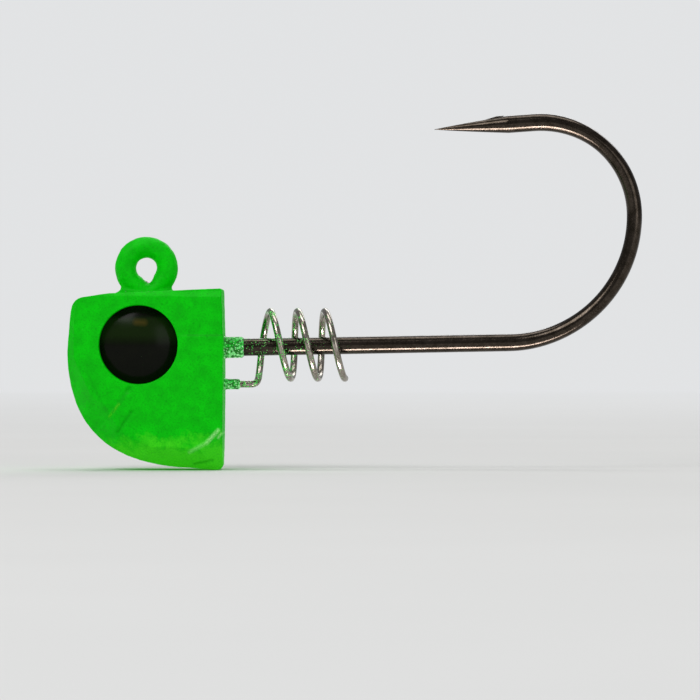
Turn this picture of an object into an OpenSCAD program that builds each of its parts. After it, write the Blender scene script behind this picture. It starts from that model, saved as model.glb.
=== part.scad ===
// Swimbait jig head: a lead head cast around an eyed hook and a screw-in bait keeper,
// with a luminous powder coat and two domed eyes.
// +Z is up, the nose points to -X, the hook bend to +X, and the origin is the line-tie hole.

/* [Head] */
// Distance from the line tie to the tip of the nose
nose_reach = 8; // [7:0.1:9]
// Distance from the line tie to the flat back face
back_reach = 8; // [7.5:0.1:9]
// Half width across the flanks at the back face
back_half_w = 5.6; // [5:0.1:6.5]
// Half width across the flanks at the front of the cheeks
cheek_half_w = 5.1; // [4.6:0.1:5.5]
// Half width of the blunt nose
nose_half_w = 3.6; // [2.8:0.1:4.4]
// How steeply the nose and chin facets fall away, 1 being as drawn
facet_fall = 1; // [0.8:0.05:1.1]
// Thickness of the luminous powder coat on the head
coat_t = 0.3; // [0.2:0.05:0.35]

/* [Line tie] */
// Diameter of the clear hole for the line
tie_d = 2.08; // [1.8:0.02:2.2]
// Diameter of the wire where it is forged into the eye
tie_wire_d = 1.7; // [1.5:0.05:1.75]
// Diameter of the coated ring's section
tie_coat_d = 2.4; // [2.3:0.05:2.5]
// Mean radius of the ring
tie_mean_r = 2.04; // [2.02:0.01:2.1]

/* [Hook] */
// Diameter of the hook wire
wire_d = 1.8; // [1.7:0.05:1.9]
// Height of the shank below the line tie, at the back face
shank_drop = 8.15; // [7.8:0.05:8.5]
// Upward tilt of the shank in degrees
shank_rise = 1; // [0.5:0.1:1.5]
// Radius of the hidden bend between the eye leg and the shank
elbow_r = 3; // [2.5:0.1:3.5]
// Distance from the line tie to the middle of the wire at the outside of the bend
bend_reach = 50.05; // [46:0.05:54]
// Radius of the lower half of the bend
lower_bend_r = 13; // [12.6:0.05:13.2]
// Radius of the upper half of the bend
upper_bend_r = 9.6; // [8:0.1:11]
// Straight length of the arm between the bend and the point's taper
arm_len = 2.2; // [1:0.1:4]
// Length of the needle taper
point_len = 8.05; // [6:0.05:10]
// Downward tilt of the arm and the point in degrees
point_tilt = 4; // [3:0.1:6]

/* [Bait keeper] */
// Diameter of the keeper wire
keeper_wire_d = 0.7; // [0.6:0.05:0.8]
// Outer diameter of the coil
coil_outer_d = 7.6; // [7:0.1:8]
// Distance from one turn of the coil to the next
coil_pitch = 2.79; // [2.5:0.01:3.2]
// Number of turns of the coil, from the first top of the coil
coil_turns = 2.5; // [2.5:1:4.5]
// Height of the keeper leg below the line tie
leg_drop = 11.9; // [11.8:0.05:12]
// Distance from the line tie to the top of the first turn
first_top_x = 12.72; // [12.6:0.02:13]
// Length of the keeper leg held in the lead
leg_grip = 5; // [4:0.1:6]

/* [Eyes] */
// Diameter of each eye
eye_d = 8; // [7:0.1:8.4]
// Position of the eyes behind the line tie (negative is towards the nose)
eye_x = -0.65; // [-1.2:0.01:0]
// Height of the eyes below the line tie
eye_drop = 7.86; // [7.6:0.01:8.4]
// Distance from the middle plane to the floor of each eye socket
socket_floor = 3.4; // [3:0.1:3.8]
// Height of the clear lens at its rim
lens_rim_h = 0.35; // [0.2:0.05:0.5]
// Height of the lens dome above its rim
lens_dome_h = 1; // [0.6:0.1:1.1]
// Diameter of the black pupil
pupil_d = 5; // [3:0.1:6]

/* [Hidden] */

$fn = 96;
wire_r = wire_d / 2;
keeper_r = keeper_wire_d / 2;
eye_r = eye_d / 2;
big = 60;                   // larger than the head in every direction
past = 1;                   // how far a cut runs beyond the face that it opens
eps = 0.01;
cheek_back = 4;             // where the nose starts to narrow, in front of the line tie
collar_coat_t = 0.18;       // coat on the wires where they leave the head
collar_relief = 0.1;        // free ring in the coat's back face around each collar
shank_collar_len = 1.95;
keeper_collar_len = 1.6;

// Side outline of the head, counter-clockwise in X and Z.
crown_r = 1.55;             // rounding between the nose and the top
crown_x = 1.9 - nose_reach;
crown_z = -4.5;
top_z = -2.1;               // top of the head at the back face
top_front_z = -2.6;
chin_z = -20.65;            // lowest edge of the head
nose_z = -8.5;              // level of the foremost point of the nose
top_corner_r = 0.3;
chin_corner_r = 0.5;

function arc(cx, cz, r, from, to, n) =
  [for (i = [0:n]) let (a = from + (to - from) * i / n) [cx + r * cos(a), cz + r * sin(a)]];
function bezier3(a, b, c, d, n) =
  [for (i = [0:n]) let (t = i / n, s = 1 - t)
    s * s * s * a + 3 * s * s * t * b + 3 * s * t * t * c + t * t * t * d];

forehead = bezier3([-nose_reach + 0.35, crown_z], [-nose_reach + 0.1, -5.5],
                   [-nose_reach, -6.7], [-nose_reach, nose_z], 3);
cheek = bezier3([-nose_reach, nose_z], [-nose_reach, -16], [4 - nose_reach - 0.05, -19.6],
                [3, chin_z + 0.3], 9);
outline = concat(
  forehead,
  [for (i = [1:len(cheek) - 1]) cheek[i]],
  [[back_reach - chin_corner_r, chin_z]],
  arc(back_reach - chin_corner_r, chin_z + chin_corner_r, chin_corner_r, -60, 0, 2),
  arc(back_reach - top_corner_r, top_z - top_corner_r, top_corner_r, 0, 90, 2),
  [[-3.7, top_front_z]],
  arc(crown_x, crown_z, crown_r, 95, 165, 4));

// The outline moved inwards by t, each corner along its own mitre.
function unit(v) = v / norm(v);
function inset_point(prev, here, next, t) =
  let (u = unit(here - prev), v = unit(next - here),
       nu = [-u[1], u[0]], nv = [-v[1], v[0]], m = unit(nu + nv))
  here + m * t / (m * nu);
function inset(pts, t) =
  [for (i = [0:len(pts) - 1])
    inset_point(pts[(i + len(pts) - 1) % len(pts)], pts[i], pts[(i + 1) % len(pts)], t)];

// A shape drawn in X and Z, made h thick to both sides of the middle plane.
module across(h) {
  rotate([90, 0, 0])
    linear_extrude(height = 2 * h, center = true) children();
}

// Facets of each flank: a crease on the flank from one point to another in X and Z. To the
// right of the crease the surface falls towards the middle, by the third number for each mm.
FACETS = [
  [[-5.9, -2], [-6.45, -6.5], 1.25],
  [[-6.45, -6.5], [-6.45, -8.6], 1.4],
  [[-6.45, -8.6], [-5.35, -12.1], 1.2],
  [[-5.35, -12.1], [-3.5, -15.05], 0.95],
  [[-3.5, -15.05], [-2.1, -16.9], 0.8],
  [[-2.1, -16.9], [0.5, -18.2], 0.9],
  [[0.5, -18.2], [5.2, -18.45], 1.15],
  [[5.4, -18.4], [7.5, -16.7], 0.9],
  [[8, -2.6], [-5.9, -3.2], 0.8]
];

// Half width of the flank at one place along it, before the facets.
function flank_w(x) =
  cheek_half_w + (x + cheek_back) * (back_half_w - cheek_half_w) / (back_reach + cheek_back);

// Everything beyond one facet, on the +Y side, t further in.
module beyond_facet(facet, t) {
  from = facet[0];
  to = facet[1];
  translate([from[0], flank_w((from[0] + to[0]) / 2), from[1]])
    rotate([0, -atan2(to[1] - from[1], to[0] - from[0]), 0])
      rotate([atan2(1, facet[2] * facet_fall) - 180, 0, 0])
        translate([-big / 2, -big / 2, -t])
          cube(big);
}

// The bevelled fish-head block, t smaller on every side.
module head_block(t) {
  difference() {
    intersection() {
      across(back_half_w) polygon(inset(outline, t));
      translate([0, 0, -big / 2])
        linear_extrude(height = big)
          polygon(inset([
            [-nose_reach, -nose_half_w], [-cheek_back, -cheek_half_w],
            [back_reach, -back_half_w], [back_reach, back_half_w],
            [-cheek_back, cheek_half_w], [-nose_reach, nose_half_w]
          ], t));
    }
    for (side = [0, 1], facet = FACETS)
      mirror([0, side, 0]) beyond_facet(facet, t);
  }
}

// The low foot under the ring, on top of the head.
foot_len = 4.9;
foot_w = 2.9;
foot_top_z = -2.1;
foot_root = 2;
module ring_foot(t) {
  translate([-foot_len / 2 + t, -foot_w / 2 + t, foot_top_z - foot_root])
    cube([foot_len - 2 * t, foot_w - 2 * t, foot_root - t]);
}

module head_form(t) {
  head_block(t);
  ring_foot(t);
}

// The hook's line in the middle plane: the eye's loop, the neck, the leg, the elbow, the shank,
// the two halves of the bend, the arm and the point.
loop_from = -48;
loop_to = 250;
neck_r = 0.95;
neck_turn = loop_to - 180;
neck_step = 14;             // degrees from the loop's end to the neck's first point
neck = (tie_mean_r + neck_r) * [cos(loop_to), sin(loop_to)];
leg_x = neck[0] + neck_r;
shank_start_x = leg_x + elbow_r * (1 + sin(shank_rise));
shank_start_z = -shank_drop - (back_reach - shank_start_x) * tan(shank_rise);
elbow_z = shank_start_z + elbow_r * cos(shank_rise);
shank_end_x = bend_reach - lower_bend_r * (1 - sin(shank_rise));
bend_z = -shank_drop + (shank_end_x - back_reach) * tan(shank_rise)
         + lower_bend_r * cos(shank_rise);
arm_start = [bend_reach - upper_bend_r, bend_z]
            + upper_bend_r * [-sin(point_tilt), cos(point_tilt)];
needle_start = arm_start - arm_len * [cos(point_tilt), sin(point_tilt)];
needle_tip = needle_start - point_len * [cos(point_tilt), sin(point_tilt)];

eye_part = concat(
  arc(0, 0, tie_mean_r, loop_from, loop_to, 26),
  arc(neck[0], neck[1], neck_r, neck_turn - neck_step, 0, 4));
wire_part = concat(
  arc(leg_x + elbow_r, elbow_z, elbow_r, 180, 270 + shank_rise, 8),
  arc(bend_reach - lower_bend_r, bend_z, lower_bend_r, shank_rise - 90, 0, 18),
  arc(bend_reach - upper_bend_r, bend_z, upper_bend_r, 5, 90 + point_tilt, 18),
  [needle_start]);
tip_r = 0.06;
hook_line = [for (p = concat(eye_part, wire_part, [needle_tip])) [p[0], 0, p[1]]];
hook_radii = concat([for (p = eye_part) tie_wire_d / 2], [for (p = wire_part) wire_r], [tip_r]);

// A round wire swept along a line, with a radius and a sideways direction at each point.
wire_sides = 12;
function line_dir(line, i) = unit(line[min(i + 1, len(line) - 1)] - line[max(i - 1, 0)]);
function ring(p, dir, side, r) =
  let (up = cross(dir, side))
  [for (k = [0:wire_sides - 1])
    let (a = 360 * k / wire_sides) p + r * cos(a) * side + r * sin(a) * up];
module wire_along(line, radii, sides) {
  last = len(line) - 1;
  polyhedron(
    [for (i = [0:last]) each ring(line[i], line_dir(line, i), sides[i], radii[i])],
    concat(
      [[for (k = [0:wire_sides - 1]) k]],
      [for (i = [0:last - 1], k = [0:wire_sides - 1])
        let (n = (k + 1) % wire_sides, a = i * wire_sides, b = a + wire_sides)
        each [[a + k, b + k, b + n], [a + k, b + n, a + n]]],
      [[for (k = [wire_sides - 1:-1:0]) last * wire_sides + k]]));
}

module rod(from, angle, len, r) {
  translate(from) rotate([0, 90 - angle, 0]) cylinder(h = len, r = r);
}

module bent(centre, bend_r, from, to, r) {
  translate([centre[0], 0, centre[1]])
    rotate([90, 0, 0]) rotate([0, 0, from])
      rotate_extrude(angle = to - from) translate([bend_r, 0]) circle(r = r);
}

// The space that the hook's wire takes inside the head, which the lead is cast around.
loop_gap = 0.02;
loop_in_foot = 25;          // degrees of the eye's loop that lie in the foot
module hook_in_head() {
  bent([0, 0], tie_mean_r, loop_to - loop_in_foot, loop_to, tie_wire_d / 2 + loop_gap);
  bent(neck, neck_r, 0, neck_turn, tie_wire_d / 2 + loop_gap);
  translate([leg_x, 0, elbow_z]) cylinder(h = neck[1] - elbow_z, r = wire_r);
  bent([leg_x + elbow_r, elbow_z], elbow_r, 180, 270 + shank_rise, wire_r);
  rod([shank_start_x, 0, shank_start_z], shank_rise, back_reach + past - shank_start_x, wire_r);
}

// A leg into the lead with a turned end, so that the keeper can't twist or pull out.
leg_turn = 1.6;
turn_r = 0.8;
leg_end_x = 10.7;
grip_x = back_reach - leg_grip;
module keeper_leg_in_head() {
  translate([grip_x, 0, -leg_drop - leg_turn]) cylinder(h = leg_turn - turn_r, r = keeper_r);
  bent([grip_x + turn_r, -leg_drop - turn_r], turn_r, 90, 180, keeper_r);
  rod([grip_x + turn_r, 0, -leg_drop], 0, leg_grip + past - turn_r, keeper_r);
}

module at_eye(side) {
  translate([eye_x, 0, -eye_drop]) rotate([-90 * side, 0, 0]) children();
}

// Round cuts through the back face along the shank and along the keeper's leg.
module shank_bore(len, r) {
  rod([back_reach - past, 0, -shank_drop - past * tan(shank_rise)], shank_rise, len, r);
}
module keeper_bore(len, r) {
  rod([back_reach - past, 0, -leg_drop], 0, len, r);
}

module socket(r, floor_y) {
  for (side = [-1, 1])
    at_eye(side) translate([0, 0, floor_y]) cylinder(h = big, r = r);
}

module head_casting() {
  color("dimgray")
    difference() {
      head_form(coat_t);
      socket(eye_r + coat_t, socket_floor - coat_t);
      hook_in_head();
      keeper_leg_in_head();
    }
}

module head_coat() {
  color("limegreen") {
    difference() {
      head_form(0);
      head_form(coat_t);
      socket(eye_r, socket_floor);
      hook_in_head();
      shank_bore(2 * past, wire_r + collar_coat_t + collar_relief);
      keeper_bore(2 * past, keeper_r + collar_coat_t + collar_relief);
    }
    intersection() {
      head_form(0);
      difference() {
        socket(eye_r + coat_t, socket_floor - coat_t);
        socket(eye_r, socket_floor);
      }
    }
  }
}

module line_tie_coat() {
  color("limegreen")
    difference() {
      rotate([90, 0, 0])
        rotate_extrude()
          difference() {
            translate([tie_mean_r, 0]) circle(d = tie_coat_d);
            translate([tie_mean_r, 0]) circle(r = tie_wire_d / 2 + loop_gap);
            translate([tie_d / 2 - tie_coat_d, -tie_coat_d]) square([tie_coat_d, 2 * tie_coat_d]);
          }
      translate([-big / 2, -big / 2, foot_top_z - big]) cube(big);
    }
}

module shank_coat() {
  color("limegreen")
    difference() {
      rod([back_reach - coat_t, 0, -shank_drop - coat_t * tan(shank_rise)], shank_rise,
          shank_collar_len + coat_t, wire_r + collar_coat_t);
      shank_bore(shank_collar_len + 2 * past, wire_r);
    }
}

module keeper_coat() {
  color("limegreen")
    difference() {
      rod([back_reach - coat_t, 0, -leg_drop], 0, keeper_collar_len + coat_t,
          keeper_r + collar_coat_t);
      keeper_bore(keeper_collar_len + 2 * past, keeper_r);
    }
}

// The barb is a sliver raised from the outer side of the taper, its tip towards the bend.
barb_w = 0.5;
module barb() {
  translate([needle_start[0], 0, needle_start[1]])
    rotate([90, 0, 0])
      linear_extrude(height = barb_w, center = true)
        polygon([[-3.7, 0], [-3.5, 0.35], [-0.9, 0.86], [-1.4, 0.45]]);
}

module hook() {
  color("dimgray") {
    wire_along(hook_line, hook_radii, [for (p = hook_line) [0, 1, 0]]);
    barb();
  }
}

// Centreline of the keeper's coil. Angle 0 is the top of the first turn, and the coil winds
// down its near side. From the leg to that top the wire rises almost straight.
coil_r = (coil_outer_d - keeper_wire_d) / 2;
coil_z = -7.88;
coil_lean = 0.0985;         // each turn leans forwards at its top, by this much of its height
lead_in = 0.2;
join_a = -140;              // where the bend from the leg meets the coil
turn_steps = 20;
function coil_x(a, z) = a > 0 ? coil_lean * (coil_r - z) : -lead_in * (1 - cos(2 * a)) / 2;
function coil_point(a) =
  let (z = coil_r * cos(a))
  [first_top_x + coil_pitch * a / 360 + coil_x(a, z), -coil_r * sin(a), coil_z + z];
leg_end = [leg_end_x, 0, -leg_drop];
leg_pull = [0.8, 0, 0];     // how far the bend at the end of the leg keeps to the leg's line
join = coil_point(join_a);
join_dir = unit(coil_point(join_a + 5) - join);
join_pull = 1.3 * join_dir;
leg_bend = bezier3(leg_end, leg_end + leg_pull, join - join_pull, join, 8);
coil_line = concat(
  [[grip_x, 0, -leg_drop - leg_turn]],
  [for (p = arc(grip_x + turn_r, -leg_drop - turn_r, turn_r, 180, 90, 4)) [p[0], 0, p[1]]],
  [for (i = [0:len(leg_bend) - 2]) leg_bend[i]],
  [for (a = [join_a:360 / turn_steps:360 * coil_turns + 0.1]) coil_point(a)]);
side_ref = [1, -0.77, -0.64];   // no stretch of the coil's line runs along this
coil_sides = [for (i = [0:len(coil_line) - 1]) unit(cross(line_dir(coil_line, i), side_ref))];

module keeper_spring() {
  color("silver") {
    wire_along(coil_line, [for (p = coil_line) keeper_r], coil_sides);
  }
}

backing_t = 0.25;
pupil_t = 0.12;
module eye_backing(side) {
  color("black") at_eye(side) translate([0, 0, socket_floor])
    cylinder(h = backing_t, r = eye_r);
}

module eye_pupil(side) {
  color("black") at_eye(side) translate([0, 0, socket_floor + backing_t])
    cylinder(h = pupil_t, d = pupil_d);
}

module eye_lens(side) {
  dome_r = (eye_r * eye_r + lens_dome_h * lens_dome_h) / (2 * lens_dome_h);
  base = socket_floor + backing_t;
  lens_h = lens_rim_h + lens_dome_h;
  color("dimgray") at_eye(side)
    difference() {
      intersection() {
        translate([0, 0, base]) cylinder(h = lens_h + past, r = eye_r);
        translate([0, 0, base + lens_h - dome_r]) sphere(r = dome_r);
      }
      translate([0, 0, base - eps]) cylinder(h = pupil_t + eps, d = pupil_d);
    }
}

head_casting();
head_coat();
line_tie_coat();
shank_coat();
keeper_coat();
hook();
keeper_spring();
eye_backing(-1);  // left_eye_backing
eye_pupil(-1);  // left_eye_pupil
eye_lens(-1);  // left_eye_lens
eye_backing(1);  // right_eye_backing
eye_pupil(1);  // right_eye_pupil
eye_lens(1);  // right_eye_lens
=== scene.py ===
"""Looks of the swimbait jig head: a glow-coated lead head with recessed domed eyes,
a coated line-tie ring, a black-nickel hook and a corkscrew bait keeper of spring steel."""

import math

import bmesh
import bpy
from mathutils import Matrix, Vector, noise


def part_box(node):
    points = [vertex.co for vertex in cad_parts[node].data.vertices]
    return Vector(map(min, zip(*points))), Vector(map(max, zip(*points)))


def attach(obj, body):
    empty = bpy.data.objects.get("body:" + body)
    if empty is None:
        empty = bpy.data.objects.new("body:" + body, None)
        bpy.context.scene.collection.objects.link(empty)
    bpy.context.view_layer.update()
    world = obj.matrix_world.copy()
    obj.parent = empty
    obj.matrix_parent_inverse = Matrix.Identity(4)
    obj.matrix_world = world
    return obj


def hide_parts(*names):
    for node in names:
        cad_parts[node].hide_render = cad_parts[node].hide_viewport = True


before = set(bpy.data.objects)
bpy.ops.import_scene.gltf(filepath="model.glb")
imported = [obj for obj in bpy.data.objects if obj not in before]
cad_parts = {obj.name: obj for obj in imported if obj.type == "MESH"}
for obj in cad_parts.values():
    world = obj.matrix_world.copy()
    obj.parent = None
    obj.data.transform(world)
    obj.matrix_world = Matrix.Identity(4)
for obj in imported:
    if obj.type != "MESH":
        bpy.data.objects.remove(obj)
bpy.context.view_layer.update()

MM = 0.001
ROOT = "root"
ACROSS = Vector((0, 1, 0))


def mm_box(node):
    """A CAD node's lowest and highest corners, in millimetres."""
    low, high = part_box(node)
    return low / MM, high / MM


head_low, head_high = mm_box("head_coat")
hook_high = mm_box("hook")[1]
coil_low, coil_high = mm_box("keeper_spring")
tie_high = mm_box("line_tie_coat")[1]
sleeve_low, sleeve_high = mm_box("shank_coat")
leg_sleeve_low, leg_sleeve_high = mm_box("keeper_coat")
lens_low, lens_high = mm_box("left_eye_lens")

NOSE_X = head_low.x
BACK_X = head_high.x
HALF_W = head_high.y
CHIN_Z = head_low.z
TOP_Z = -2.1
CHEEK_X = -4.0          # where the flanks start to taper towards the nose
CHEEK_W = HALF_W - 0.5
NOSE_W = HALF_W - 2.0
EYE_X = (lens_low.x + lens_high.x) / 2
EYE_Z = (lens_low.z + lens_high.z) / 2
EYE_R = (lens_high.x - lens_low.x) / 2
EYE_FLOOR = -lens_high.y
WIRE_R = hook_high.y
SHANK_RISE = math.radians(1)
SHANK_EXIT_Z = -8.15    # height of the shank's middle where it leaves the head
SHANK_Z = (sleeve_low.z + sleeve_high.z) / 2
KEEPER_R = 0.35
LEG_EXIT_Z = -11.9      # height of the keeper's leg where it leaves the head
LEG_Z = (leg_sleeve_low.z + leg_sleeve_high.z) / 2


# ---------------------------------------------------------------- helpers

def new_object(name, verts, faces, material, replaced):
    """A mesh piece in millimetres, turned into metres, riding on the one body."""
    mesh = bpy.data.meshes.new(name)
    mesh.from_pydata([Vector(v) * MM for v in verts], [], faces)
    mesh.validate()
    obj = bpy.data.objects.new(name, mesh)
    bpy.context.scene.collection.objects.link(obj)
    finish_piece(obj, material, replaced)
    return obj


def shade_smooth(mesh):
    for polygon in mesh.polygons:
        polygon.use_smooth = True


def finish_piece(obj, material, replaced):
    obj.data.materials.clear()
    obj.data.materials.append(material)
    shade_smooth(obj.data)
    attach(obj, ROOT)
    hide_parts(*replaced)


def smoothstep(low, high, value):
    t = min(1.0, max(0.0, (value - low) / (high - low)))
    return t * t * (3 - 2 * t)


def arc(cx, cz, radius, start, end, steps):
    """Points of an arc in the middle plane; angles in degrees from +X towards +Z."""
    angles = [math.radians(start + (end - start) * i / steps) for i in range(steps + 1)]
    return [Vector((cx + radius * math.cos(a), 0, cz + radius * math.sin(a))) for a in angles]


def bezier(a, b, c, d, steps):
    points = []
    for i in range(steps + 1):
        t = i / steps
        s = 1 - t
        points.append(a * s**3 + b * 3 * s * s * t + c * 3 * s * t * t + d * t**3)
    return points


def resample(line, step):
    """The same line with points at an even spacing of about step."""
    lengths = [0.0]
    for a, b in zip(line, line[1:]):
        lengths.append(lengths[-1] + (b - a).length)
    count = max(2, round(lengths[-1] / step))
    out, k = [], 0
    for i in range(count + 1):
        at = lengths[-1] * i / count
        while k < len(line) - 2 and lengths[k + 1] < at:
            k += 1
        t = (at - lengths[k]) / max(1e-9, lengths[k + 1] - lengths[k])
        out.append(line[k].lerp(line[k + 1], min(1.0, t)))
    return out


def sweep(line, section, sides, reference):
    """A closed tube along a line. section(i, s) gives the two half widths of ring i, s mm along:
    sideways and upwards of the line's run, where reference shows which way is up."""
    verts, faces = [], []
    s = 0.0
    last = len(line) - 1
    for i, p in enumerate(line):
        if i:
            s += (p - line[i - 1]).length
        ahead = (line[min(i + 1, last)] - line[max(i - 1, 0)]).normalized()
        side = ahead.cross(reference).normalized()
        up = side.cross(ahead)
        r_side, r_up = section(i, s)
        for k in range(sides):
            a = 2 * math.pi * k / sides
            verts.append(p + side * (r_side * math.cos(a)) + up * (r_up * math.sin(a)))
    for i in range(last):
        for k in range(sides):
            n = (k + 1) % sides
            a, b = i * sides, (i + 1) * sides
            faces.append((a + k, a + n, b + n, b + k))
    for ring, flip in ((0, True), (last, False)):
        centre = len(verts)
        verts.append(line[ring].copy())
        base = ring * sides
        for k in range(sides):
            n = (k + 1) % sides
            pair = (base + n, base + k) if flip else (base + k, base + n)
            faces.append((pair[0], pair[1], centre))
    return verts, faces


# ---------------------------------------------------------------- materials

class Graph:
    """A material's node tree, with short calls for the nodes that the materials share."""

    def __init__(self, name):
        self.material = bpy.data.materials.new(name)
        self.material.use_nodes = True
        self.tree = self.material.node_tree
        self.shader = self.tree.nodes["Principled BSDF"]
        coordinates = self.tree.nodes.new("ShaderNodeTexCoord")
        mapping = self.tree.nodes.new("ShaderNodeMapping")
        mapping.inputs["Scale"].default_value = (1 / MM, 1 / MM, 1 / MM)
        self.link(coordinates.outputs["Object"], mapping.inputs["Vector"])
        self.position = mapping.outputs["Vector"]      # object space, in millimetres
        self.split = None

    def link(self, output, socket):
        self.tree.links.new(output, socket)

    def constants(self, **values):
        for name, value in values.items():
            self.shader.inputs[name.replace("_", " ")].default_value = value

    def set(self, socket, output):
        self.link(output, self.shader.inputs[socket])

    def axis(self, index):
        if self.split is None:
            self.split = self.tree.nodes.new("ShaderNodeSeparateXYZ")
            self.link(self.position, self.split.inputs[0])
        return self.split.outputs[index]

    def near_line(self, start, end, reach, strength):
        """Strength on the line from start to end (X, Z), falling to 0 at reach from it."""
        run = (end[0] - start[0], end[1] - start[1])
        length = math.hypot(*run)
        along = (run[0] / length, run[1] / length)
        x = self.math("SUBTRACT", self.axis(0), start[0])
        z = self.math("SUBTRACT", self.axis(2), start[1])
        on = self.math("ADD", self.math("MULTIPLY", x, along[0]), self.math("MULTIPLY", z, along[1]))
        off = self.math("SUBTRACT", self.math("MULTIPLY", z, along[0]),
                        self.math("MULTIPLY", x, along[1]))
        beyond = self.math("MAXIMUM", self.math("SUBTRACT", on, length),
                           self.math("MAXIMUM", self.math("MULTIPLY", on, -1.0), 0.0))
        distance = self.math("POWER", self.math("ADD", self.math("MULTIPLY", off, off),
                                                self.math("MULTIPLY", beyond, beyond)), 0.5)
        return self.span(distance, reach, 0.0, 0.0, strength)

    def noise(self, scale, detail=2.0, roughness=0.5):
        node = self.tree.nodes.new("ShaderNodeTexNoise")
        node.inputs["Scale"].default_value = scale
        node.inputs["Detail"].default_value = detail
        node.inputs["Roughness"].default_value = roughness
        self.link(self.position, node.inputs["Vector"])
        return node.outputs["Fac"]

    def cells(self, scale):
        """Distance to the nearest of a scatter of points."""
        node = self.tree.nodes.new("ShaderNodeTexVoronoi")
        node.inputs["Scale"].default_value = scale
        self.link(self.position, node.inputs["Vector"])
        return node.outputs["Distance"]

    def span(self, value, from_low, from_high, to_low=0.0, to_high=1.0):
        """A value's run between two marks, stretched onto another range and held at its ends."""
        node = self.tree.nodes.new("ShaderNodeMapRange")
        for socket, number in zip(("From Min", "From Max", "To Min", "To Max"),
                                  (from_low, from_high, to_low, to_high)):
            node.inputs[socket].default_value = number
        self.link(value, node.inputs["Value"])
        return node.outputs["Result"]

    def math(self, operation, a, b):
        node = self.tree.nodes.new("ShaderNodeMath")
        node.operation = operation
        for socket, value in zip(node.inputs, (a, b)):
            if isinstance(value, (int, float)):
                socket.default_value = value
            else:
                self.link(value, socket)
        return node.outputs[0]

    def mix(self, factor, a, b):
        """Two colours mixed by a factor; each may be a colour or another node's output."""
        node = self.tree.nodes.new("ShaderNodeMix")
        node.data_type = "RGBA"
        self.link(factor, node.inputs["Factor"])
        for name, value in (("A", a), ("B", b)):
            socket = next(s for s in node.inputs if s.name == name and s.type == "RGBA")
            if isinstance(value, tuple):
                socket.default_value = (*value, 1)
            else:
                self.link(value, socket)
        return next(s for s in node.outputs if s.type == "RGBA")

    def bump(self, height, strength, distance):
        node = self.tree.nodes.new("ShaderNodeBump")
        node.inputs["Strength"].default_value = strength
        node.inputs["Distance"].default_value = distance * MM
        self.link(height, node.inputs["Height"])
        self.set("Normal", node.outputs["Normal"])


GREEN_DEEP = (0.0, 0.17, 0.001)
GREEN_MAIN = (0.0, 0.32, 0.001)
GREEN_PALE = (0.0, 0.40, 0.001)
# Painted light from below on the chin.
CHIN_UNDERLIGHT_GREEN = (0.034, 0.47, 0.006)
GLINT_YELLOW = (0.10, 0.44, 0.004)
GLINT = (0.34, 0.66, 0.26)

# Painted shade in the creases and along the seam, on both flanks: start, end (X, Z), reach and
# strength.
CREASE_SHADE_LINES = [
    ((-1.55, -12.3), (-3.2, -14.7), 0.4, 0.4),
    ((-1.3, -14.7), (-2.7, -16.75), 0.3, 0.35),
    ((-5.9, -10.6), (-3.9, -14.6), 0.3, 0.25),
    ((4.4, -6.9), (7.9, -6.9), 0.16, 0.45),
    ((5.0, -20.0), (6.9, -19.6), 0.22, 0.5),
]
# Painted highlights along the chin's crease, in the same columns.
GLINT_LINES = [
    ((4.6, -18.75), (6.3, -17.85), 0.3, 0.35),
    ((6.3, -17.85), (7.5, -16.55), 0.3, 0.7),
    ((7.1, -17.0), (7.3, -16.8), 0.22, 0.9),
    ((7.5, -17.3), (7.8, -16.9), 0.22, 0.55),
]
# A painted yellow highlight along the crease to the mouth's corner.
YELLOW_GLINT_LINE = ((-3.55, -15.15), (-2.6, -13.9), 0.2, 0.45)


def glow_coat():
    """Luminous powder coat: grainy, mottled and slightly orange-peeled. Painted light from below
    makes it limier along the chin, painted shade darkens the creases, and painted highlights run
    along the chin's crease, which is glossier there."""
    g = Graph("glow_coat")
    grain = g.noise(6.5, detail=3, roughness=0.7)
    mottle = g.noise(0.75, detail=3, roughness=0.55)
    body = g.mix(g.span(mottle, 0.35, 0.65), GREEN_MAIN, GREEN_PALE)
    grained = g.mix(g.span(grain, 0.3, 0.52), GREEN_DEEP, body)
    colour = g.mix(g.span(grain, 0.3, 0.6, 0.65, 0.3), body, grained)
    # Painted light from below: the chin turns limier under a wavy line.
    waves = g.span(g.noise(0.55, detail=4, roughness=0.7), 0.3, 0.7, 1.3, -1.3)
    edge = g.math("ADD", g.axis(2), waves)
    low = g.math("MULTIPLY", g.span(edge, CHIN_Z + 3.6, CHIN_Z + 2.1),
                 g.span(g.axis(0), -5.0, -2.4))
    colour = g.mix(g.math("MULTIPLY", low, g.span(grain, 0.35, 0.6, 0.55, 1.0)),
                   colour, CHIN_UNDERLIGHT_GREEN)
    # Painted shade along the creases and the seam.
    for line in CREASE_SHADE_LINES:
        colour = g.mix(g.near_line(*line), colour, GREEN_DEEP)
    # A painted yellow highlight along the crease to the mouth's corner.
    colour = g.mix(g.math("MULTIPLY", g.near_line(*YELLOW_GLINT_LINE), g.span(grain, 0.4, 0.6)),
                   colour, GLINT_YELLOW)
    # Painted highlights along the chin's crease, where the coat is also glossier.
    glint_and_gloss = g.near_line(*GLINT_LINES[0])
    for line in GLINT_LINES[1:]:
        glint_and_gloss = g.math("MAXIMUM", glint_and_gloss, g.near_line(*line))
    glint_and_gloss = g.math("MULTIPLY", glint_and_gloss, g.span(grain, 0.35, 0.62, 0.25, 1.0))
    colour = g.mix(glint_and_gloss, colour, GLINT)
    g.set("Base Color", colour)
    g.set("Emission Color", colour)
    g.set("Roughness", g.math("SUBTRACT", g.span(grain, 0.3, 0.7, 0.42, 0.58),
                              g.math("MULTIPLY", glint_and_gloss, 0.3)))
    g.constants(Emission_Strength=0.5, Specular_IOR_Level=0.1)
    g.bump(g.math("ADD", grain, g.math("MULTIPLY", mottle, 1.6)), 0.4, 0.06)
    return g.material


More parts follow.
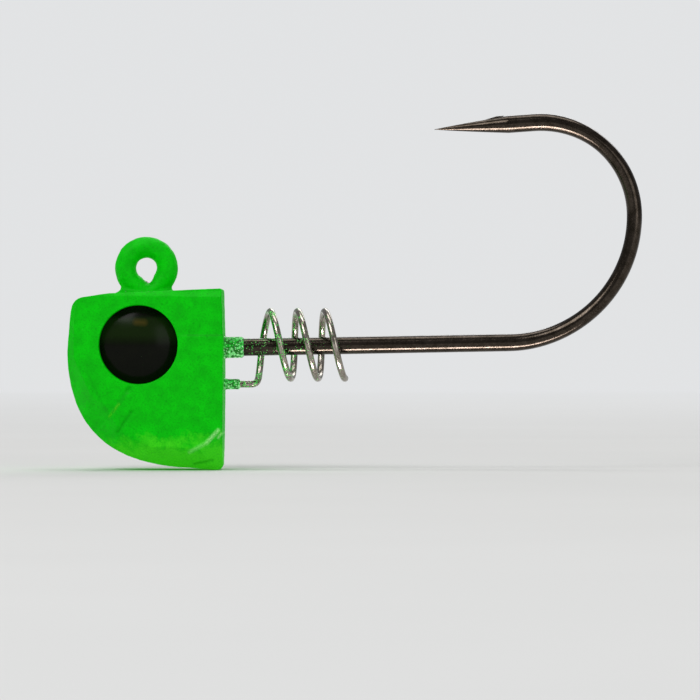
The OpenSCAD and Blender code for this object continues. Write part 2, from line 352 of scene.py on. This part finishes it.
def speckled_coat():
    """Coat that thins to grains over bare wire: green with mint, white and dark specks.
    It is paler along the underside of each sleeve, as painted light from below."""
    g = Graph("speckled_coat")
    fine = g.cells(5.4)
    coarse = g.cells(3.1)
    patches = g.noise(1.6, detail=3)
    colour = g.mix(g.span(patches, 0.35, 0.65), (0.0, 0.36, 0.01), (0.05, 0.52, 0.08))
    # Painted light from below: the underside of each sleeve is paler.
    under_shank = g.math("MULTIPLY", g.span(g.axis(2), SHANK_Z + 0.1, SHANK_Z - 0.8),
                         g.span(g.axis(2), LEG_Z + 1.4, LEG_Z + 1.6))
    under_leg = g.span(g.axis(2), LEG_Z + 0.2, LEG_Z - 0.4)
    under = g.math("MULTIPLY", g.math("MAXIMUM", under_shank, under_leg),
                   g.span(patches, 0.3, 0.6, 0.35, 0.9))
    colour = g.mix(g.math("MULTIPLY", under, 0.8), colour, (0.26, 0.70, 0.28))
    colour = g.mix(g.span(coarse, 0.48, 0.56), colour, (0.01, 0.14, 0.012))
    colour = g.mix(g.span(fine, 0.30, 0.22), colour, (0.34, 0.74, 0.36))
    colour = g.mix(g.span(coarse, 0.2, 0.13), colour, (0.80, 0.84, 0.74))
    g.set("Base Color", colour)
    g.set("Emission Color", colour)
    g.set("Roughness", g.span(fine, 0.1, 0.5, 0.3, 0.5))
    g.constants(Emission_Strength=0.42, Specular_IOR_Level=0.3)
    g.bump(g.math("SUBTRACT", patches, fine), 0.6, 0.1)
    return g.material


def oversprayed_metal(name, bright, dark, roughness, spray_from, spray_to, thin, thick):
    """A metal wire with green overspray speckles that thin out away from the head."""
    g = Graph(name)
    cloud = g.noise(1.1, detail=3)
    streaks = g.noise(11.0, detail=3, roughness=0.75)
    metal = g.mix(g.span(cloud, 0.35, 0.65), dark, bright)
    pits = g.span(g.noise(8.0, detail=4, roughness=0.8), 0.52, 0.66)
    metal = g.mix(pits, metal, tuple(1.9 * c for c in bright))
    near_head = g.span(g.axis(0), spray_from, spray_to, 1.0, 0.0)
    dots = g.cells(5.8)
    patches = g.noise(1.3, detail=2)
    size = g.math("MULTIPLY", near_head, g.span(patches, 0.35, 0.65, thin, thick))
    spray = g.span(g.math("SUBTRACT", size, dots), -0.02, 0.03)
    tint = g.mix(g.span(g.noise(3.1), 0.4, 0.6), (0.0, 0.38, 0.03), (0.16, 0.66, 0.12))
    g.set("Base Color", g.mix(spray, metal, tint))
    g.set("Emission Color", g.mix(spray, (0.0, 0.0, 0.0), tint))
    g.set("Metallic", g.span(spray, 0.0, 1.0, 1.0, 0.0))
    g.set("Roughness", g.math("ADD", g.span(streaks, 0.3, 0.7, roughness, roughness + 0.1),
                              g.math("MULTIPLY", spray, 0.3)))
    g.constants(Emission_Strength=0.35)
    g.bump(g.math("ADD", g.math("MULTIPLY", streaks, 0.2), spray), 0.3, 0.05)
    return g.material


def eye_foil():
    """Dark olive foil with a fine grain, under the resin."""
    g = Graph("eye_foil")
    grain = g.noise(3.5, detail=4, roughness=0.7)
    g.set("Base Color", g.mix(g.span(grain, 0.35, 0.65), (0.004, 0.005, 0.002),
                              (0.02, 0.02, 0.007)))
    g.set("Roughness", g.span(grain, 0.3, 0.7, 0.25, 0.45))
    g.constants(Metallic=0.8)
    g.bump(grain, 0.3, 0.04)
    return g.material


def eye_pupil():
    """Flat black print."""
    g = Graph("eye_pupil")
    grain = g.noise(6.0)
    g.set("Base Color", g.mix(grain, (0.002, 0.002, 0.002), (0.006, 0.006, 0.005)))
    g.set("Roughness", g.span(grain, 0.3, 0.7, 0.3, 0.4))
    return g.material


def eye_resin():
    """Near-black resin dome: a faint olive painted reflection above the middle holds a small painted
    brown glint.
    """
    g = Graph("eye_resin")
    haze = g.noise(0.9, detail=3)
    smoke = g.mix(haze, (0.0015, 0.002, 0.001), (0.004, 0.005, 0.002))
    # Painted reflection: faint olive above the middle, leaving the top of the dome dark.
    reflection_band = g.math("MULTIPLY", g.span(g.axis(2), EYE_Z - 0.1, EYE_Z + 1.0),
                  g.span(g.axis(2), EYE_Z + 3.0, EYE_Z + 2.6))
    olive = g.mix(g.math("MULTIPLY", reflection_band, 0.8), smoke, (0.008, 0.02, 0.003))
    # A painted brown glint in the painted reflection.
    painted_glint = g.near_line((EYE_X - 0.2, EYE_Z + 2.3), (EYE_X + 0.6, EYE_Z + 2.25), 0.5, 0.8)
    g.set("Base Color", g.mix(painted_glint, olive, (0.06, 0.045, 0.008)))
    g.set("Roughness", g.span(haze, 0.3, 0.7, 0.16, 0.24))
    g.constants(Specular_IOR_Level=0.08)
    return g.material


def lead():
    """Dull grey cast lead, under the coat."""
    g = Graph("cast_lead")
    grain = g.noise(2.5, detail=4)
    g.set("Base Color", g.mix(grain, (0.16, 0.165, 0.18), (0.34, 0.345, 0.36)))
    g.set("Roughness", g.span(grain, 0.3, 0.7, 0.5, 0.75))
    g.constants(Metallic=0.7)
    g.bump(grain, 0.4, 0.05)
    return g.material


STUDIO = (0.76, 0.77, 0.78)


def backdrop():
    """A pale matt floor that fades into the studio's own tone with distance from its middle."""
    g = Graph("pale_floor")
    fade_from, fade_to = 120.0, 950.0
    tone = g.noise(0.02, detail=2)
    squared = g.math("ADD", g.math("MULTIPLY", g.axis(0), g.axis(0)),
                     g.math("MULTIPLY", g.axis(1), g.axis(1)))
    far = g.span(g.math("POWER", squared, 0.5), fade_from, fade_to)
    near = g.mix(tone, (0.66, 0.66, 0.65), (0.70, 0.70, 0.69))
    g.set("Base Color", g.mix(far, near, (0.0, 0.0, 0.0)))
    g.set("Emission Strength", far)
    g.constants(Roughness=1.0, Specular_IOR_Level=0.0, Emission_Color=(*STUDIO, 1.0))
    return g.material


# ---------------------------------------------------------------- the head

def head_outline():
    """Side outline of the head, counter-clockwise in X and Z, in millimetres."""
    forehead = bezier(Vector((NOSE_X + 0.35, 0, -4.5)), Vector((NOSE_X + 0.1, 0, -5.5)),
                      Vector((NOSE_X, 0, -6.7)), Vector((NOSE_X, 0, -8.5)), 6)
    cheek = bezier(Vector((NOSE_X, 0, -8.5)), Vector((NOSE_X, 0, -16)),
                   Vector((NOSE_X + 3.95, 0, -19.6)), Vector((3, 0, CHIN_Z + 0.3)), 22)
    chin = [Vector((BACK_X - 0.6, 0, CHIN_Z)), Vector((BACK_X - 0.25, 0, CHIN_Z + 0.12))]
    back = [Vector((BACK_X - 0.06, 0, CHIN_Z + 0.45)), Vector((BACK_X, 0, -14)),
            Vector((BACK_X, 0, -7)), Vector((BACK_X - 0.12, 0, TOP_Z - 0.1))]
    top = [Vector((BACK_X - 0.3, 0, TOP_Z)), Vector((-3.7, 0, -2.6))]
    crown = arc(NOSE_X + 1.9, -4.5, 1.55, 95, 170, 6)
    return forehead + cheek[1:] + chin + back + top + crown


def half_space(bm, point, normal):
    """Cuts away everything beyond a plane and closes the cut."""
    geometry = bm.verts[:] + bm.edges[:] + bm.faces[:]
    cut = bmesh.ops.bisect_plane(bm, geom=geometry, plane_co=point, plane_no=normal,
                                 clear_outer=True, dist=1e-5)
    edges = [e for e in cut["geom_cut"] if isinstance(e, bmesh.types.BMEdge)]
    if edges:
        bmesh.ops.edgeloop_fill(bm, edges=edges)


# Facets of each flank, as in part.scad. Each is a crease from one point to another on the
# flank (X, Z): to its right the surface falls towards the middle at this slope.
FACETS = [
    ((-5.9, -2.0), (-6.45, -6.5), 1.25),
    ((-6.45, -6.5), (-6.45, -8.6), 1.4),
    ((-6.45, -8.6), (-5.35, -12.1), 1.2),
    ((-5.35, -12.1), (-3.5, -15.05), 0.95),
    ((-3.5, -15.05), (-2.1, -16.9), 0.8),
    ((-2.1, -16.9), (0.5, -18.2), 0.9),
    ((0.5, -18.2), (5.2, -18.45), 1.15),
    ((5.4, -18.4), (7.5, -16.7), 0.9),
    ((8.0, -2.6), (-5.9, -3.2), 0.8),
]


def head_solid():
    """The faceted block of the head: the side outline, the plan taper and the facets."""
    bm = bmesh.new()
    bmesh.ops.create_cube(bm, size=60)
    outline = head_outline()
    taper = (HALF_W - CHEEK_W) / (BACK_X - CHEEK_X)
    for a, b in zip(outline, outline[1:] + outline[:1]):
        along = b - a
        half_space(bm, a, Vector((along.z, 0, -along.x)).normalized())
    for side in (-1, 1):
        half_space(bm, Vector((BACK_X, side * HALF_W, 0)),
                   Vector((-taper, side, 0)).normalized())
        half_space(bm, Vector((CHEEK_X, side * CHEEK_W, 0)),
                   Vector((-(CHEEK_W - NOSE_W) / (CHEEK_X - NOSE_X), side, 0)).normalized())
        for start, end, slope in FACETS:
            dx, dz = end[0] - start[0], end[1] - start[1]
            size = math.hypot(dx, dz)
            out_x, out_z = dz / size, -dx / size
            width = CHEEK_W + ((start[0] + end[0]) / 2 - CHEEK_X) * taper
            half_space(bm, Vector((start[0], side * width, start[1])),
                       Vector((out_x * slope, side, out_z * slope)).normalized())
    return bm


def segment_distance(x, z, a, b):
    dx, dz = b[0] - a[0], b[1] - a[1]
    t = ((x - a[0]) * dx + (z - a[1]) * dz) / (dx * dx + dz * dz)
    t = min(1.0, max(0.0, t))
    return math.hypot(x - a[0] - t * dx, z - a[1] - t * dz)


# Creases pressed into each flank: start, end (X, Z), depth or height, half width.
GROOVES = [
    ((-1.3, -14.7), (-2.7, -16.75), 0.17, 0.17),
    ((-1.6, -12.3), (-3.4, -14.95), 0.08, 0.2),
    ((-1.65, -12.3), (-1.75, -12.5), 0.16, 0.22),
    ((4.9, -20.1), (6.9, -19.6), 0.1, 0.15),
]
RIDGES = [
    ((4.6, -18.75), (6.3, -17.85), 0.08, 0.2),
    ((6.3, -17.85), (7.6, -16.5), 0.1, 0.2),
]
PITS = [((-6.3, -6.2), 0.1, 0.16)]      # centre, depth, half width
SEAM_Z = -6.95
MOUTH = (-3.5, -15.05)
CHEEK_CREASE = (-1.6, -12.5)            # where the crease to the mouth's corner starts


def carve_depth(x, z):
    """How far the flank lies below its facets: seam ledge, creases, pits and mouth pocket."""
    depth = 0.0
    past_eye = smoothstep(EYE_X + EYE_R - 0.2, EYE_X + EYE_R + 0.8, x)
    depth += 0.13 * past_eye * smoothstep(SEAM_Z - 0.05, SEAM_Z + 0.12, z)
    depth -= 0.02 * past_eye * math.exp(-((z - SEAM_Z + 0.22) / 0.16) ** 2)
    for start, end, deep, half in GROOVES:
        depth += deep * math.exp(-(segment_distance(x, z, start, end) / half) ** 2)
    for start, end, high, half in RIDGES:
        depth -= high * math.exp(-(segment_distance(x, z, start, end) / half) ** 2)
    for (px, pz), deep, half in PITS:
        depth += deep * math.exp(-(((x - px) ** 2 + (z - pz) ** 2) / half**2))
    # A shallow pocket in front of the crease that runs from the eye to the mouth's corner.
    line = Vector((MOUTH[0] - CHEEK_CREASE[0], MOUTH[1] - CHEEK_CREASE[1])).normalized()
    ahead = (x - CHEEK_CREASE[0]) * line.y - (z - CHEEK_CREASE[1]) * line.x
    reach = math.hypot(x - MOUTH[0], z - MOUTH[1])
    inside = smoothstep(0.0, 0.3, ahead) * smoothstep(3.6, 0.6, reach)
    depth += 0.2 * inside * smoothstep(EYE_R + 0.1, EYE_R + 1.0,
                                       math.hypot(x - EYE_X, z - EYE_Z))
    return depth


def eye_plug(side):
    """A round plug the size of one eye's socket, to be cut out of the head."""
    depth = 20
    bm = bmesh.new()
    bmesh.ops.create_cone(bm, cap_ends=True, segments=128, radius1=EYE_R * MM,
                          radius2=EYE_R * MM, depth=depth * MM)
    bmesh.ops.rotate(bm, verts=bm.verts, matrix=Matrix.Rotation(math.pi / 2, 3, "X"))
    centre = Vector((EYE_X, side * (EYE_FLOOR + depth / 2), EYE_Z)) * MM
    bmesh.ops.translate(bm, verts=bm.verts, vec=centre)
    mesh = bpy.data.meshes.new("plug")
    bm.to_mesh(mesh)
    bm.free()
    plug = bpy.data.objects.new("plug", mesh)
    bpy.context.scene.collection.objects.link(plug)
    return plug


def build_head(material):
    """The faceted block with its two eye sockets, melted into one skin and then sculpted."""
    bm = head_solid()
    bmesh.ops.recalc_face_normals(bm, faces=bm.faces)
    for v in bm.verts:
        v.co *= MM
    mesh = bpy.data.meshes.new("head_shell")
    bm.to_mesh(mesh)
    bm.free()
    head = bpy.data.objects.new("head_shell", mesh)
    bpy.context.scene.collection.objects.link(head)
    for side in (-1, 1):
        plug = eye_plug(side)
        apply_modifier(head, "BOOLEAN", operation="DIFFERENCE", object=plug, solver="EXACT")
        bpy.data.objects.remove(plug)
    apply_modifier(head, "REMESH", mode="VOXEL", voxel_size=0.09 * MM)
    apply_modifier(head, "SMOOTH", factor=0.5, iterations=4)
    sculpt_head(head.data)
    finish_piece(head, material, ["head_coat"])
    return head


def apply_modifier(obj, kind, **settings):
    """Runs one modifier and keeps its result as the object's mesh."""
    modifier = obj.modifiers.new(kind.lower(), kind)
    for key, value in settings.items():
        setattr(modifier, key, value)
    graph = bpy.context.evaluated_depsgraph_get()
    mesh = bpy.data.meshes.new_from_object(obj.evaluated_get(graph))
    obj.modifiers.clear()
    old = obj.data
    obj.data = mesh
    bpy.data.meshes.remove(old)


def sculpt_head(mesh):
    """Presses the seam, creases and pits into the flanks, and gives the coat a soft unevenness."""
    normals = [v.normal.copy() for v in mesh.vertices]
    for v, normal in zip(mesh.vertices, normals):
        p = v.co / MM
        move = 0.025 * noise.fractal(p * 0.9, 1.0, 2.0, 3) - 0.04
        radial = math.hypot(p.x - EYE_X, p.z - EYE_Z)
        if abs(normal.y) > 0.35 and radial > EYE_R + 0.05:
            move -= carve_depth(p.x, p.z) * smoothstep(0.35, 0.7, abs(normal.y))
        v.co += normal * move * MM
        v.co.y = max(-HALF_W * MM, min(HALF_W * MM, v.co.y))


# ---------------------------------------------------------------- the coated ring

def ring_loop(mean_r, thick):
    """The coated loop itself: its hole runs to a small corner near the shank."""
    rings, sides = 144, 40
    hole_r = 1.04
    corner, corner_spread, corner_depth = math.radians(-79), math.radians(38), 0.52
    verts, faces = [], []
    for i in range(rings):
        a = 2 * math.pi * i / rings
        turn = math.atan2(math.sin(a - corner), math.cos(a - corner))
        point = max(0.0, 1 - abs(turn) / corner_spread)
        inner = hole_r + corner_depth * point**1.3
        outer = mean_r + thick
        middle, half = (inner + outer) / 2, (outer - inner) / 2
        for k in range(sides):
            b = 2 * math.pi * k / sides
            r = middle + half * math.cos(b)
            verts.append(Vector((r * math.cos(a), thick * math.sin(b), r * math.sin(a))))
    for i in range(rings):
        for k in range(sides):
            a, b = i * sides, ((i + 1) % rings) * sides
            n = (k + 1) % sides
            faces.append((a + k, a + n, b + n, b + k))
    return verts, faces


NECK_SQUARE = 0.55      # 1 for an oval foot, 0 for a square-cornered one


def ring_neck(mean_r, thick, first):
    """The web under the loop, which spreads where it meets the top of the head."""
    levels = [-1.72, -1.95, -2.15, -2.35, -2.5, -2.62, -2.75, -3.1]
    sides = 64
    outer = mean_r + thick
    verts, faces = [], []
    for z in levels:
        spread = smoothstep(-2.0, -2.8, z)
        half_x = max(math.sqrt(max(0.0, outer**2 - z * z)) - 0.06, 2.62) + 0.85 * spread**1.6
        half_y = thick - 0.12 + 0.5 * spread**1.4
        for k in range(sides):
            a = 2 * math.pi * k / sides
            x = half_x * math.copysign(abs(math.cos(a)) ** NECK_SQUARE, math.cos(a))
            y = half_y * math.copysign(abs(math.sin(a)) ** NECK_SQUARE, math.sin(a))
            verts.append(Vector((x, y, z)))
    for i in range(len(levels) - 1):
        for k in range(sides):
            n = (k + 1) % sides
            a, b = first + i * sides, first + (i + 1) * sides
            faces.append((a + k, b + k, b + n, a + n))
    faces.append(tuple(first + k for k in range(sides)))
    faces.append(tuple(first + (len(levels) - 1) * sides + k for k in reversed(range(sides))))
    return verts, faces


def build_ring(material):
    """The coated eye loop and its neck, melted into one skin."""
    thick = tie_high.y
    mean_r = tie_high.x - thick
    loop, loop_faces = ring_loop(mean_r, thick)
    neck, neck_faces = ring_neck(mean_r, thick, len(loop))
    ring = new_object("line_tie_ring", loop + neck, loop_faces + neck_faces, material,
                      ["line_tie_coat"])
    apply_modifier(ring, "REMESH", mode="VOXEL", voxel_size=0.07 * MM)
    apply_modifier(ring, "SMOOTH", factor=0.5, iterations=6)
    kink_x, kink_z = 3.05, -0.75
    normals = [v.normal.copy() for v in ring.data.vertices]
    for v, normal in zip(ring.data.vertices, normals):
        p = v.co / MM
        lump = 0.035 * noise.fractal(p * 1.1, 1.0, 2.0, 3) - 0.02
        kink = 0.05 * math.exp(-((p.x - kink_x) ** 2 + (p.z - kink_z) ** 2) / 0.3)
        highest = 0.0 if p.length > mean_r + thick - 0.02 else 1.0
        v.co += normal * min(lump + kink, highest) * MM
    shade_smooth(ring.data)
    return ring


# ---------------------------------------------------------------- the hook

HOOK_BEND_X = hook_high.x - WIRE_R      # the bend's outermost middle point
LOWER_R = 13.0                          # bend radius below that point, and above it
UPPER_R = 9.6
POINT_TILT = 4.0                        # degrees
ARM = 2.2                               # straight length between the bend and the point
POINT = 8.05                            # length of the tapered point


def hook_line():
    """Middle line of the wire: loop, neck, leg, elbow, shank, bend, arm and point."""
    loop_r, neck_r, elbow_r = 2.04, 0.95, 3.0
    loop_to = 250
    rise = math.degrees(SHANK_RISE)
    neck_x = (loop_r + neck_r) * math.cos(math.radians(loop_to))
    neck_z = (loop_r + neck_r) * math.sin(math.radians(loop_to))
    leg_x = neck_x + neck_r
    start_x = leg_x + elbow_r * (1 + math.sin(SHANK_RISE))
    start_z = SHANK_EXIT_Z - (BACK_X - start_x) * math.tan(SHANK_RISE)
    elbow_z = start_z + elbow_r * math.cos(SHANK_RISE)
    end_x = HOOK_BEND_X - LOWER_R * (1 - math.sin(SHANK_RISE))
    bend_z = (SHANK_EXIT_Z + (end_x - BACK_X) * math.tan(SHANK_RISE)
              + LOWER_R * math.cos(SHANK_RISE))
    line = arc(0, 0, loop_r, -48, loop_to, 60)
    line += arc(neck_x, neck_z, neck_r, loop_to - 194, 0, 12)
    line += arc(leg_x + elbow_r, elbow_z, elbow_r, 180, 270 + rise, 24)
    line += arc(HOOK_BEND_X - LOWER_R, bend_z, LOWER_R, rise - 90, 0, 60)
    line += arc(HOOK_BEND_X - UPPER_R, bend_z, UPPER_R, 2, 90 + POINT_TILT, 60)
    tilt = math.radians(180 + POINT_TILT)
    line.append(line[-1] + (ARM + POINT) * Vector((math.cos(tilt), 0, math.sin(tilt))))
    return line


def point_share(left):
    """How thick the wire is, as a share of its full radius, this far from the point's tip."""
    return 1.06 * (left / POINT)**0.86


def build_hook(material):
    """The wire, thinner where the coated loop and the lead hide it, flattened a little round
    the bend and drawn out to a needle point, and the barb on it."""
    line = resample(hook_line(), 0.16)
    total = sum((b - a).length for a, b in zip(line, line[1:]))
    hidden_r, hidden_to, smallest_r = 0.42, 11, 0.035

    def section(i, s):
        left = total - s
        p = line[i]
        if s < hidden_to:
            r_up = r_side = hidden_r + (WIRE_R - hidden_r) * smoothstep(9.5, hidden_to, s)
        else:
            bend = smoothstep(36, 47, p.x) * smoothstep(POINT + ARM, POINT + ARM + 8, left)
            r_up, r_side = WIRE_R, WIRE_R - 0.11 * bend
        if left < POINT:
            share = min(1.0, point_share(max(0.0, left)))
            r_up *= share
            r_side *= share
        lump = 0.993 + 0.005 * noise.noise(p * 0.7)
        return max(smallest_r, r_side) * lump, max(smallest_r, r_up) * lump

    verts, faces = sweep(line, section, 32, ACROSS)
    barb_verts, barb_faces = barb(line[-1], len(verts))
    return new_object("hook_wire", verts + barb_verts, faces + barb_faces, material,
                      ["hook"])


def barb(tip, first):
    """A sliver cut from the outer side of the point and lifted, its end towards the bend."""
    starts_at, length = 4.3, 2.85
    tilt = math.radians(POINT_TILT)
    back = Vector((math.cos(tilt), 0, math.sin(tilt)))
    out = Vector((-math.sin(tilt), 0, math.cos(tilt)))
    steps, sides = 18, 12
    verts, faces = [], []
    for i in range(steps + 1):
        t = i / steps
        at = starts_at + length * t
        wire_top = WIRE_R * point_share(at)
        lift = 0.3 * t**1.6 - 0.05
        thick = 0.2 * (1 - t) ** 0.5 + 0.02
        wide = 0.34 * (1 - t) ** 0.45 + 0.015
        centre = tip + back * at + out * (wire_top + min(lift, WIRE_R + 0.02 - wire_top) - thick)
        for k in range(sides):
            a = 2 * math.pi * k / sides
            verts.append(centre + ACROSS * (wide * math.cos(a)) + out * (thick * math.sin(a)))
    for i in range(steps):
        for k in range(sides):
            n = (k + 1) % sides
            a, b = first + i * sides, first + (i + 1) * sides
            faces.append((a + k, b + k, b + n, a + n))
    faces.append(tuple(first + k for k in range(sides)))
    faces.append(tuple(first + steps * sides + k for k in reversed(range(sides))))
    return verts, faces


# ---------------------------------------------------------------- the bait keeper

def coil_line():
    """The keeper's middle line: turned end, leg, rise to the first top and 2.5 turns."""
    coil_r = coil_high.y - KEEPER_R
    pitch, first_top, coil_z, lean, lead_in = 2.79, 12.72, -7.88, 0.0985, 0.2
    grip_x, turn_r = coil_low.x + KEEPER_R, 0.8

    def coil(degrees):
        a = math.radians(degrees)
        z = coil_r * math.cos(a)
        shift = lean * (coil_r - z) if degrees > 0 else -lead_in * (1 - math.cos(2 * a)) / 2
        return Vector((first_top + pitch * degrees / 360 + shift, -coil_r * math.sin(a),
                       coil_z + z))

    line = [Vector((grip_x, 0, LEG_EXIT_Z - 1.6))]
    line += arc(grip_x + turn_r, LEG_EXIT_Z - turn_r, turn_r, 180, 90, 12)
    leg_end = Vector((10.7, 0, LEG_EXIT_Z))
    join = coil(-140)
    ahead = (coil(-135) - join).normalized()
    line += bezier(leg_end, leg_end + Vector((0.8, 0, 0)), join - 1.3 * ahead, join, 24)[:-1]
    line += [coil(-140 + 4 * i) for i in range(261)]
    return line


def build_keeper(material):
    line = resample(coil_line(), 0.11)

    def section(i, s):
        ends = min(i, len(line) - 1 - i)
        r = KEEPER_R * (0.86 if ends == 0 else 1.0)
        return r, r

    verts, faces = sweep(line, section, 20, Vector((1, -0.77, -0.64)))
    return new_object("keeper_wire", verts, faces, material, ["keeper_spring"])


def sleeve(name, node, to_x, z_at, rise, inner, material):
    """A ragged-edged sleeve of coat on a wire of radius inner, where it leaves the head."""
    verts, faces = [], []
    sides, steps = 48, 26
    from_x = BACK_X - 0.2
    outer = inner + 0.18
    profile = []
    for i in range(steps + 1):
        t = i / steps
        thick = (outer - inner) * min(1.0, (1 - t) * 9) ** 0.5 + 0.012
        fillet = 0.22 * math.exp(-t * (to_x - from_x) / 0.16)
        profile.append((from_x + (to_x - from_x) * t, thick, fillet))
    for x, thick, fillet in profile:
        for k in range(sides):
            a = 2 * math.pi * k / sides
            ragged = 0.05 * noise.noise(Vector((math.cos(a) * 3, math.sin(a) * 3, from_x)))
            lump = 0.035 * noise.fractal(Vector((x, math.cos(a), math.sin(a))) * 2.2, 1.0, 2.0, 2)
            r = inner + max(0.008, thick + lump * min(1, thick * 8)) + fillet
            r = min(r, outer) if fillet < 0.01 else r
            verts.append(Vector((x + ragged * (x - from_x) / (to_x - from_x),
                                 r * math.cos(a), z_at + (x - BACK_X) * rise + r * math.sin(a))))
    for i in range(len(profile) - 1):
        for k in range(sides):
            n = (k + 1) % sides
            a, b = i * sides, (i + 1) * sides
            faces.append((a + k, a + n, b + n, b + k))
    faces.append(tuple(reversed(range(sides))))
    faces.append(tuple((len(profile) - 1) * sides + k for k in range(sides)))
    return new_object(name, verts, faces, material, [node])


# ---------------------------------------------------------------- the eyes

def build_lens(name, node, side, material):
    """A resin dome on a short rim; side is -1 for the left eye and 1 for the right."""
    rings, sides = 40, 128
    base = EYE_FLOOR
    top = -lens_low.y
    rim = 0.35
    rise = top - base - rim
    dome_r = (EYE_R**2 + rise**2) / (2 * rise)
    profile = [(EYE_R, base), (EYE_R, base + rim - 0.1)]
    for i in range(rings + 1):
        r = (EYE_R - 0.03) * (1 - i / rings)
        profile.append((r, top - dome_r + math.sqrt(dome_r**2 - r**2)))
    verts, faces = [], []
    for r, y in profile[:-1]:
        for k in range(sides):
            a = 2 * math.pi * k / sides
            verts.append(Vector((EYE_X + r * math.cos(a), side * y, EYE_Z + r * math.sin(a))))
    verts.append(Vector((EYE_X, side * top, EYE_Z)))
    verts.append(Vector((EYE_X, side * base, EYE_Z)))
    count = len(profile) - 1
    for i in range(count - 1):
        for k in range(sides):
            n = (k + 1) % sides
            a, b = i * sides, (i + 1) * sides
            face = (a + k, b + k, b + n, a + n)
            faces.append(face if side < 0 else tuple(reversed(face)))
    for k in range(sides):
        n = (k + 1) % sides
        tip = ((count - 1) * sides + k, count * sides, (count - 1) * sides + n)
        floor = (n, count * sides + 1, k)
        faces.append(tip if side < 0 else tuple(reversed(tip)))
        faces.append(floor if side < 0 else tuple(reversed(floor)))
    return new_object(name, verts, faces, material, [node])


# ---------------------------------------------------------------- stage, lights, camera

def build_stage():
    """A wide level floor under the head's lowest point."""
    radius, sides = 6000.0, 96
    verts = [Vector((0, 0, head_low.z)) * MM]
    for k in range(sides):
        a = 2 * math.pi * k / sides
        verts.append(Vector((radius * math.cos(a), radius * math.sin(a), head_low.z)) * MM)
    faces = [(0, 1 + k, 1 + (k + 1) % sides) for k in range(sides)]
    mesh = bpy.data.meshes.new("floor")
    mesh.from_pydata(verts, [], faces)
    mesh.materials.append(backdrop())
    stage = bpy.data.objects.new("floor", mesh)
    bpy.context.scene.collection.objects.link(stage)


def area_light(name, place, target, size, power, colour=(1, 1, 1)):
    """A rectangular light aimed at a target; places and sizes in millimetres, power in watts."""
    data = bpy.data.lights.new(name, "AREA")
    data.shape = "RECTANGLE"
    data.size, data.size_y = size[0] * MM, size[1] * MM
    data.energy = power
    data.color = colour
    light = bpy.data.objects.new(name, data)
    light.location = Vector(place) * MM
    direction = (Vector(target) - Vector(place)).normalized()
    light.rotation_euler = direction.to_track_quat("-Z", "Y").to_euler()
    bpy.context.scene.collection.objects.link(light)
    return light


def build_lights():
    """Four soft lights round the jig head, two thin strips, and the studio's own tone."""
    middle = (20, 0, -5)
    area_light("key", (-420, -620, 760), middle, (700, 520), 5.6)
    area_light("fill", (700, -800, 230), middle, (700, 500), 1.5)
    area_light("back", (250, 850, 500), middle, (700, 400), 2.4)
    area_light("top", (80, 150, 1100), middle, (900, 500), 4.6)
    # Thin strips in front of and below the shank and the arm, for the bright line along each.
    for place, target, size, power in (
            ((33.5, -7, CHIN_Z + 0.6), (33.5, 0, SHANK_Z), (39, 3), 0.0020),
            ((38, -7, 2), (38, 0, hook_high.z - 1.5), (22, 3), 0.0013)):
        strip = area_light("strip", place, target, size, power, (1.0, 0.95, 0.96))
        strip.data.spread = math.radians(70)
        strip.visible_camera = False
    world = bpy.data.worlds.new("studio")
    world.use_nodes = True
    tree = world.node_tree
    tree.nodes["Background"].inputs["Color"].default_value = (*STUDIO, 1)
    path = tree.nodes.new("ShaderNodeLightPath")
    strength = tree.nodes.new("ShaderNodeMapRange")
    strength.inputs["To Min"].default_value = 0.36      # the tone's strength as a light
    tree.links.new(path.outputs["Is Camera Ray"], strength.inputs["Value"])
    tree.links.new(strength.outputs["Result"], tree.nodes["Background"].inputs["Strength"])
    bpy.context.scene.world = world
    bpy.context.scene.view_settings.view_transform = "Standard"


def build_camera():
    """Level side view with a long lens; the frame is a little wider than the jig head."""
    distance = 500.0
    seen_width = 71.8
    focus = Vector(((hook_high.x + NOSE_X) / 2 - 0.6, 0, -8.4))
    data = bpy.data.cameras.new("camera")
    data.sensor_width = 36
    data.lens = data.sensor_width * distance / seen_width
    data.clip_start = 0.01
    data.clip_end = 5
    camera = bpy.data.objects.new("camera", data)
    camera.location = (focus + Vector((0, -distance, 0))) * MM
    camera.rotation_euler = (math.pi / 2, 0, 0)
    bpy.context.scene.collection.objects.link(camera)
    bpy.context.scene.camera = camera


# ---------------------------------------------------------------- build

build_camera()
build_stage()
build_lights()

coat = glow_coat()
thin_coat = speckled_coat()
hook_metal = oversprayed_metal("black_nickel", (0.055, 0.044, 0.035), (0.028, 0.022, 0.016), 0.12,
                               BACK_X + 2.5, 24.0, 0.02, 0.42)
spring_metal = oversprayed_metal("spring_steel", (0.38, 0.34, 0.30), (0.20, 0.175, 0.14), 0.14,
                                 BACK_X + 5.0, 23.0, 0.1, 0.55)
resin = eye_resin()

build_head(coat)
build_ring(coat)
build_hook(hook_metal)
build_keeper(spring_metal)
sleeve("shank_sleeve", "shank_coat", sleeve_high.x, SHANK_EXIT_Z, math.tan(SHANK_RISE), WIRE_R,
       thin_coat)
sleeve("keeper_sleeve", "keeper_coat", leg_sleeve_high.x, LEG_EXIT_Z, 0.0, KEEPER_R, thin_coat)
build_lens("left_eye_dome", "left_eye_lens", -1, resin)
build_lens("right_eye_dome", "right_eye_lens", 1, resin)

CAD_LOOKS = {"head_casting": lead(), "left_eye_backing": eye_foil(), "left_eye_pupil": eye_pupil()}
CAD_LOOKS["right_eye_backing"] = CAD_LOOKS["left_eye_backing"]
CAD_LOOKS["right_eye_pupil"] = CAD_LOOKS["left_eye_pupil"]
for node, material in CAD_LOOKS.items():
    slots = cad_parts[node].data.materials
    slots.clear()
    slots.append(material)
